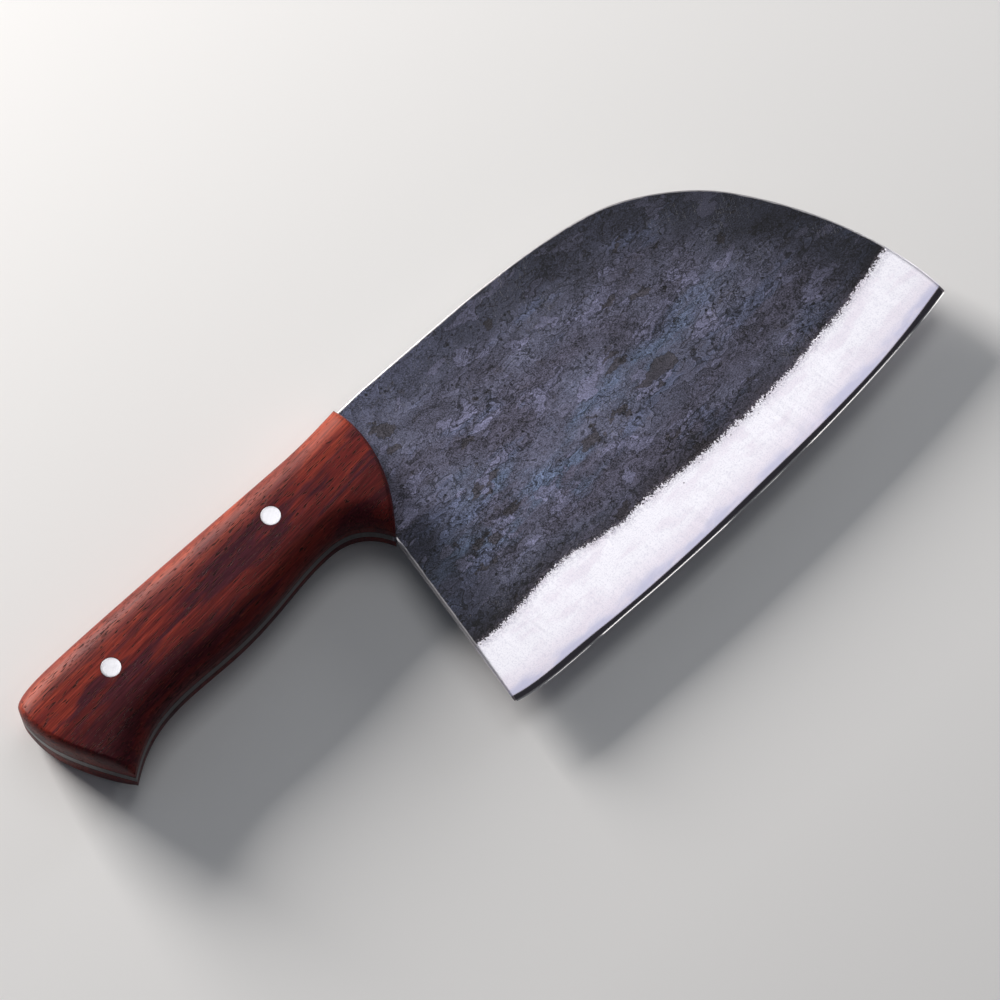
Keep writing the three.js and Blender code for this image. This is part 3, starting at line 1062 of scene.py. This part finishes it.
def forged_steel():
    s = Shader("forged_steel", (0.09, 0.1, 0.13), 0.45, 0.6, FORGED_TURN)
    f = SimpleNamespace(forward=s.axis("X"))
    f.from_edge, f.rim, f.inside = (s.number(name) for name in ("from_edge", "rim", "inside"))
    for add_fields in (scale_noises, scale_layers, scale_patches, scale_pits, worn_metal, ground_band):
        add_fields(s, f)
    color = s.coated(
        s.tint(scale_color(s, f), scale_shade(s, f)),
        (f.skim, SKIMMED_STEEL),
        (f.ground, satin_color(s, f)),
        (s.times(f.bright, s.inverse(f.ground)), BARE_STEEL),
    )
    metallic = s.blend(s.math("MAXIMUM", f.ground, f.bright), 0.5, 1.0)
    return s.finish(color, steel_roughness(s, f), steel_height(s, f), FORGED_DEPTH, metallic)


# ------------------------------------------------------------------ wood, rivets, adhesive and floor

WOOD_TURN = 5
WOOD_SHEEN = 0.09
DEEP_WOOD = (0.13, 0.016, 0.015)
RED_WOOD = (0.225, 0.03, 0.019)
# Painted light: lighter orange wood for the spine side.
SPINE_SIDE_PAINTED_LIGHT = (0.335, 0.06, 0.027)
SMOKY_WOOD = (0.034, 0.0085, 0.018)
# Painted shade: near-black wood for the belly side.
BELLY_SIDE_PAINTED_SHADE = (0.05, 0.005, 0.006)
# Painted highlight along one side of the pores.
PORE_HIGHLIGHT_WOOD = (0.46, 0.13, 0.07)
PORE_WOOD = (0.012, 0.004, 0.004)
CRACK_WOOD = (0.012, 0.0035, 0.0035)


def wood_pores(s):
    """Pores are short gaps along the grain, each with a pale painted highlight along its lower side."""
    row = s.noise(s.drawn(30, 1.8, (2, 2, 5)), 2, 0.5)
    rarity = s.less(s.swing(row, 0.35), s.rise(s.axis("Y"), -7, -1, 0.0, 0.035))
    pore_field = s.noise(s.drawn(2.1, 0.38, (4, 1, 6)), 0, 0.5)
    pore_highlight_field = s.noise(s.drawn(2.1, 0.38, (4, 1.18, 6)), 0, 0.5)
    pore = s.rise(s.add(pore_field, rarity), 0.67, 0.74)
    lip = s.times(s.rise(s.add(pore_highlight_field, rarity), 0.67, 0.75), s.inverse(pore))
    return pore, lip


def rosewood(name, shift):
    s = Shader(name, (0.17, 0.03, 0.016), 0.4, 0, WOOD_TURN)
    warp = s.noise(s.drawn(34, 12, shift), 2, 0.5)
    lean = s.vector("SCALE", (0, 1, 0), scale=s.swing(warp, 1.2))
    smoke = s.noise(s.vector("ADD", s.drawn(38, 9, (3, 8, 1)), lean), 3, 0.5)
    flame = s.noise(s.vector("ADD", s.drawn(50, 3, (5, 1, 7)), lean), 4, 0.6)
    fibre = s.noise(s.drawn(18, 0.46, shift), 3, 0.7)
    fine = s.noise(s.drawn(6, 0.22, shift), 2, 0.7)
    pore, lip = wood_pores(s)
    crack = s.math("ABSOLUTE", s.less(s.noise(s.drawn(26, 2.6, (8, 3, 9)), 3, 0.5), 0.5))
    crack = s.times(s.rise(crack, 0.008, 0.001), s.rise(smoke, 0.52, 0.6))

    figure = s.add(s.swing(flame, 26.0), s.swing(smoke, 10.0))
    # Painted light: the wood turns lighter and more orange towards the spine side, with less smoky figure
    # there.
    spine_side_painted_light = s.rise(s.add(s.axis("Y"), figure), -16, -3)
    # Painted shade: the wood turns darker towards the belly side.
    belly_side_painted_shade = s.rise(s.add(s.axis("Y"), figure), -18, -29)
    dark = s.rise(s.add(smoke, s.swing(flame, 0.8)), 0.44, 0.56)
    color = s.coated(
        s.mix(s.rise(flame, 0.38, 0.62), DEEP_WOOD, RED_WOOD),
        (s.times(spine_side_painted_light, 0.7), SPINE_SIDE_PAINTED_LIGHT),
        (s.times(dark, s.less(0.86, s.times(spine_side_painted_light, 0.4))), SMOKY_WOOD),
        (s.times(belly_side_painted_shade, 0.6), BELLY_SIDE_PAINTED_SHADE),
    )
    shade = s.add(1.0, s.swing(fibre, 2.2), s.swing(fine, 1.5))
    color = s.coated(
        s.tint(color, s.math("MAXIMUM", shade, 0.3)),
        # painted highlight beside the pores
        (s.times(lip, 0.14), PORE_HIGHLIGHT_WOOD),
        (s.times(pore, 0.85), PORE_WOOD),
        (s.times(crack, 0.85), CRACK_WOOD),
    )

    roughness = s.add(0.34, s.times(fibre, 0.16), s.times(pore, 0.25))
    height = s.add(s.times(fibre, 0.5), s.times(fine, 0.4))
    height = s.less(height, s.times(s.math("MAXIMUM", pore, crack), 1.1))
    s.surface.inputs["Specular IOR Level"].default_value = WOOD_SHEEN
    return s.finish(color, roughness, height, 0.05)


def rivet_steel(name):
    s = Shader(name, (0.8, 0.8, 0.84), 0.3, 1)
    lap = s.noise(s.stretched(9, 0.12, 35), 3, 0.6)
    cross = s.noise(s.stretched(5, 0.2, -20, (3, 3, 3)), 3, 0.6)
    cloud = s.noise(s.stretched(2.4, 1.8), 3, 0.6)
    color = s.coated(
        (0.94, 0.93, 0.97),
        (s.rise(lap, 0.4, 0.7, 0.0, 0.3), (0.72, 0.71, 0.76)),
        (s.rise(cross, 0.55, 0.75, 0.0, 0.25), (0.66, 0.65, 0.7)),
        (s.rise(cloud, 0.45, 0.75, 0.0, 0.3), (0.68, 0.66, 0.72)),
    )
    height = s.add(s.times(lap, 0.5), s.times(cross, 0.3))
    return s.finish(color, s.add(0.28, s.times(lap, 0.14)), height, 0.006)


def dark_adhesive():
    s = Shader("dark_adhesive", (0.03, 0.018, 0.013), 0.5, 0)
    mottle = s.noise(s.stretched(1.4, 0.7), 4, 0.6)
    color = s.mix(mottle, (0.012, 0.007, 0.006), (0.06, 0.034, 0.022))
    return s.finish(color, s.add(0.4, s.times(mottle, 0.25)), mottle, 0.02)


def pale_floor():
    return Shader("pale_floor", (0.84, 0.84, 0.84), 0.9, 0).material


# ------------------------------------------------------------------ pieces

steel = forged_steel()
adhesive = dark_adhesive()
satin = rivet_steel("satin_rivet_steel")
wood = {1: rosewood("rosewood_right", (0, 0, 0)), -1: rosewood("rosewood_left", (17, 6, 3))}


def place_piece(piece, node, material):
    piece.data.materials.clear()
    piece.data.materials.append(material)
    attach(piece, "root")
    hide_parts(node)


DRILL_TOP = SCALE_OUTER + 2
HOLE_RADIUS = BARREL_RADIUS + HOLE_GAP
SINK_RADIUS = HEAD_RADIUS + HOLE_GAP
hole = [(0, -DRILL_TOP), (HOLE_RADIUS, -DRILL_TOP), (HOLE_RADIUS, DRILL_TOP), (0, DRILL_TOP)]
head_hole = hole[:2] + [(HOLE_RADIUS, SEAT), (SINK_RADIUS, SEAT), (SINK_RADIUS, DRILL_TOP), (0, DRILL_TOP)]
places = list(RIVET_PLACES.values())

blade = forged_blade()
cut(blade, hole, places)
place_piece(blade, "blade_and_tang", steel)

for side, word in ((1, "right"), (-1, "left")):
    scale = wood_scale(f"rosewood_scale_{word}", side, 5.0 + side)
    cut(scale, [(r, side * z) for r, z in head_hole][::side], places)
    place_piece(scale, f"handle_scale_{word}", wood[side])
    film = bond_film(f"adhesive_{word}", side)
    cut(film, hole, places)
    place_piece(film, f"bond_film_{word}", adhesive)

for word, place in RIVET_PLACES.items():
    place_piece(rivet_barrel(f"barrel_{word}", place), f"{word}_rivet_barrel", satin)
    place_piece(rivet_pin(f"pin_{word}", place), f"{word}_rivet_pin", satin)

# ------------------------------------------------------------------ floor, light and camera

FLOOR_HALF = 2.5
floor_mesh = bpy.data.meshes.new("floor")
floor_low = cad_box[0].z
corners = [(-1, -1), (1, -1), (1, 1), (-1, 1)]
floor_mesh.from_pydata([(FLOOR_HALF * a, FLOOR_HALF * b, floor_low) for a, b in corners], [], [[0, 1, 2, 3]])
floor = bpy.data.objects.new("floor", floor_mesh)
bpy.context.scene.collection.objects.link(floor)
floor_mesh.materials.append(pale_floor())


def aim(thing, place, target):
    """Puts a lamp or camera at a place, looking at a target, level."""
    thing.location = place
    thing.rotation_euler = (Vector(target) - Vector(place)).to_track_quat("-Z", "Y").to_euler()


def softbox(name, lean, distance, width, height, glow, color=(1, 1, 1)):
    """A soft lamp over the blade, its width along the blade. lean is how far it leans from upright, in
    degrees, towards the tip and towards the spine. glow is how bright its face is."""
    lamp = bpy.data.lights.new(name, "AREA")
    lamp.shape = "RECTANGLE"
    lamp.size = width
    lamp.size_y = height
    lamp.energy = glow * math.pi * width * height
    lamp.color = color
    holder = bpy.data.objects.new(name, lamp)
    bpy.context.scene.collection.objects.link(holder)
    up = Vector((math.tan(math.radians(lean[0])), math.tan(math.radians(lean[1])), 1)).normalized()
    along = (Vector((1, 0, 0)) - up * up.x).normalized()
    turn = Matrix((along, up.cross(along), up)).transposed()
    holder.matrix_world = Matrix.Translation(view_target + up * distance) @ turn.to_4x4()


VIEW_AZIMUTH = -43.65
VIEW_ELEVATION = 68
VIEW_DISTANCE = 1.1
VIEW_LENS = 134.64
SENSOR_WIDTH = 36
CLIP_START = 0.05
CLIP_END = 20
VIEW_CENTRE = (15.57, -53.36)

view_target = datum + Vector((*VIEW_CENTRE, 0)) * MM
turn, lift = math.radians(VIEW_AZIMUTH), math.radians(VIEW_ELEVATION)
back = Vector((math.sin(turn) * math.cos(lift), -math.cos(turn) * math.cos(lift), math.sin(lift)))
lens = bpy.data.cameras.new("camera")
lens.lens = VIEW_LENS
lens.sensor_width = SENSOR_WIDTH
lens.clip_start = CLIP_START
lens.clip_end = CLIP_END
camera = bpy.data.objects.new("camera", lens)
bpy.context.scene.collection.objects.link(camera)
aim(camera, view_target + back * VIEW_DISTANCE, view_target)
bpy.context.scene.camera = camera

softbox("overhead_softbox", (16, 14), distance=1.3, width=0.9, height=0.55, glow=1.55)
warm = (1, 0.96, 0.92)
softbox("spine_side_softbox", (-15, 72), distance=1.4, width=0.6, height=0.45, glow=42, color=warm)
softbox("nose_side_softbox", (74, 25), distance=1.4, width=0.3, height=0.8, glow=4)
softbox("edge_strip", (17, -25), distance=1.5, width=0.75, height=0.12, glow=1.6)

ROOM_COLOR = (0.75, 0.8, 0.9, 1)
ROOM_GLOW = 0.12
world = bpy.data.worlds.new("studio")
bpy.context.scene.world = world
world.use_nodes = True
background = world.node_tree.nodes["Background"]
background.inputs["Color"].default_value = ROOM_COLOR
background.inputs["Strength"].default_value = ROOM_GLOW

bpy.context.scene.view_settings.view_transform = "Standard"
bpy.context.scene.view_settings.look = "None"
